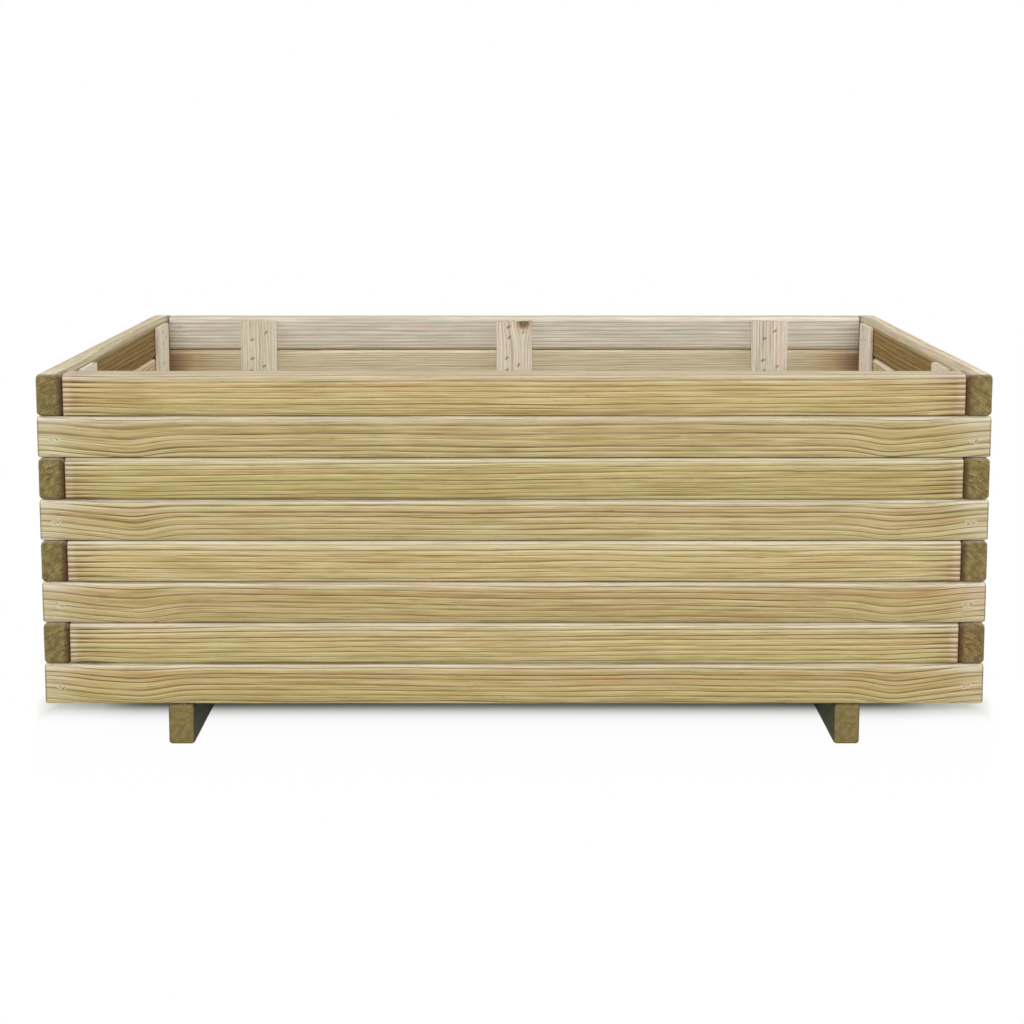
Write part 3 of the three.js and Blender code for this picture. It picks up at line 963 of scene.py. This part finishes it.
def recess(l, t, h):
    """A flat round recess at each screw: the depth times a step of the distance from the screw's axis."""
    away = np.hypot(np.abs(l) - SCREW_PLACE, t)
    within = smooth_step(-away, -RECESS_RADIUS - 0.5 * MM, -RECESS_RADIUS + 0.3 * MM)
    return RECESS_DEPTH * within * (h < UNDERSIDE)


def foot_look(place, from_end, t, h, end):
    """Dark and green on its sides: green damp wood, darkened as painted shade, since the sides face away from
    the lamps.
    """
    # painted shade on the sides, with a green tint
    shade = smooth_step(np.abs(t), 0.4, 0.48) * (1 - end)
    return {"dry": -1.3 * shade, "green": 1.2 * shade}


for spot in ("left", "right"):
    heart = (choice.uniform(0.03, 0.05), -choice.uniform(0.1, 0.14))
    wood = {"heart": heart, "lean": (0, 0), "ring": 6.3 * MM, "wave": 1 * MM}
    add_timber(f"foot_{spot}", WALLS["left"], wood, FOOT, look=foot_look, relief=recess)
print("feet:", [name for name in made if name.startswith("foot")])

# %% Floor slats
SLATS = 5
SLAT = {
    "material": slat_pine, "roundings": (2 * MM, 2 * MM), "easing": 1 * MM,
    "steps": (5 * MM, 3 * MM, 3 * MM),
}
for number in range(1, SLATS + 1):
    wood = {
        "heart": (choice.uniform(0.03, 0.08), choice.uniform(-0.05, 0.05)),
        "lean": (choice.uniform(-0.01, 0.01), choice.uniform(-0.01, 0.01)),
        "ring": choice.uniform(4.5, 6.5) * MM,
        "wave": 1.5 * MM,
        "knots": [(choice.uniform(-0.4, 0.4), choice.uniform(-0.025, 0.025), choice.uniform(5, 9) * MM, 1.2)],
    }
    add_timber(f"floor_slat_{number}", ((1, 0, 0), (0, 0, -1)), wood, SLAT)
print("timbers:", len(made), "points:", sum(made.values()))

# %% [markdown]
# ## Staples and screws
#
# A staple is a wire bent into a narrow U, and only its crown shows, sunk a little into the wood. There are
# hundreds, so each has only a few dozen faces, and all those of a kind are one mesh. The screws keep the
# frame's own shape.

# %% Staples
HEXAGON = np.linspace(0, 2 * np.pi, 7)[:-1]


def add_staples(name, places, width, wire, sunk, leg):
    """Makes all staples of a kind as one mesh, at the places that add_timber noted. The wire's path goes up
    one leg, along the crown and down the other. Its section is a hexagon in the plane of the path's outward
    direction and the direction across the crown."""
    half = width / 2
    path_u = np.array([-half, -half, -half + 0.3 * wire, half - 0.3 * wire, half, half])
    path_v = np.array([leg, wire, 0, 0, wire, leg])  # depth below the crown
    out_u = np.array([-1, -1, -0.5, 0.5, 1, 1])
    out_v = np.array([0, -0.2, -0.9, -0.9, -0.2, 0])
    across, outward = wire / 2 * np.sin(HEXAGON), wire / 2 * np.cos(HEXAGON)
    u = path_u[:, None] + out_u[:, None] * outward
    v = path_v[:, None] + out_v[:, None] * outward + sunk + wire / 2
    w = across + 0 * u
    face, crown, into = (np.array(vectors)[:, None, None] for vectors in zip(*places))
    points = face + u[..., None] * crown + v[..., None] * into + w[..., None] * np.cross(crown, into)
    one = grid_faces(*u.shape)
    starts = np.arange(len(places)) * u.size
    faces = [[corner + start for corner in polygon] for start in starts for polygon in one]
    piece = add_mesh(name, points.reshape(-1, 3), faces)
    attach(piece, "root")
    return piece


# %% Galvanised and zinc-plated steel
def steel_material(name, colour, dark, roughness):
    """Zinc on steel: a metal whose plating has dulled in patches of about two millimetres."""
    material, tree = empty_material(name)
    place = add_node(tree, "TexCoord").outputs["Object"]
    patches = add_node(tree, "TexNoise", {"Vector": place, "Scale": 420.0, "Detail": 3.0}).outputs[0]
    tone = add_node(tree, "ValToRGB", {0: patches}, [(0.35, dark), (0.65, colour)])
    limits = {"To Min": roughness + 0.15, "To Max": roughness - 0.1}
    matt = add_node(tree, "MapRange", {"Value": patches, **limits})
    inputs = {"Base Color": tone, "Metallic": 1.0, "Roughness": matt}
    add_node(tree, "OutputMaterial", {"Surface": add_node(tree, "BsdfPrincipled", inputs)})
    return material


zinc = steel_material("zinc-plated steel", "#B9BAB6", "#8A8880", 0.4)
galvanised = steel_material("galvanised staple wire", "#D8D2C2", "#A39B86", 0.6)
tarnished = steel_material("galvanised staple wire, tarnished", "#8F8474", "#5C4A38", 0.5)
STAPLES = {  # the material and places, then the crown's width, the wire, how deep it is sunk, the leg, in mm
    "corner_staples": (galvanised, corner_staples, 3.4, 0.9, 0.25, 3),
    "batten_staples": (tarnished, batten_staples, 5.2, 1.0, 0.4, 3),
}
for name, (steel, places, *sizes) in STAPLES.items():
    piece = add_staples(name, places, *(size * MM for size in sizes))
    piece.data.materials.append(steel)
    print(name, "faces:", len(piece.data.polygons))

for node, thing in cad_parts.items():
    if node.startswith("foot_screw"):
        thing.data.materials.clear()
        thing.data.materials.append(zinc)

# %% [markdown]
# ## Close the lesson
#
# The box of the finished bed is measured, kept beside the frame's box, and printed.

# %% Sizes and the end
low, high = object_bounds()
sizes = {
    "cad": [list(cad_low), list(cad_high)],
    "visual": [list(low), list(high)],
}
print("visual box:", [round(v, 4) for v in low], [round(v, 4) for v in high])
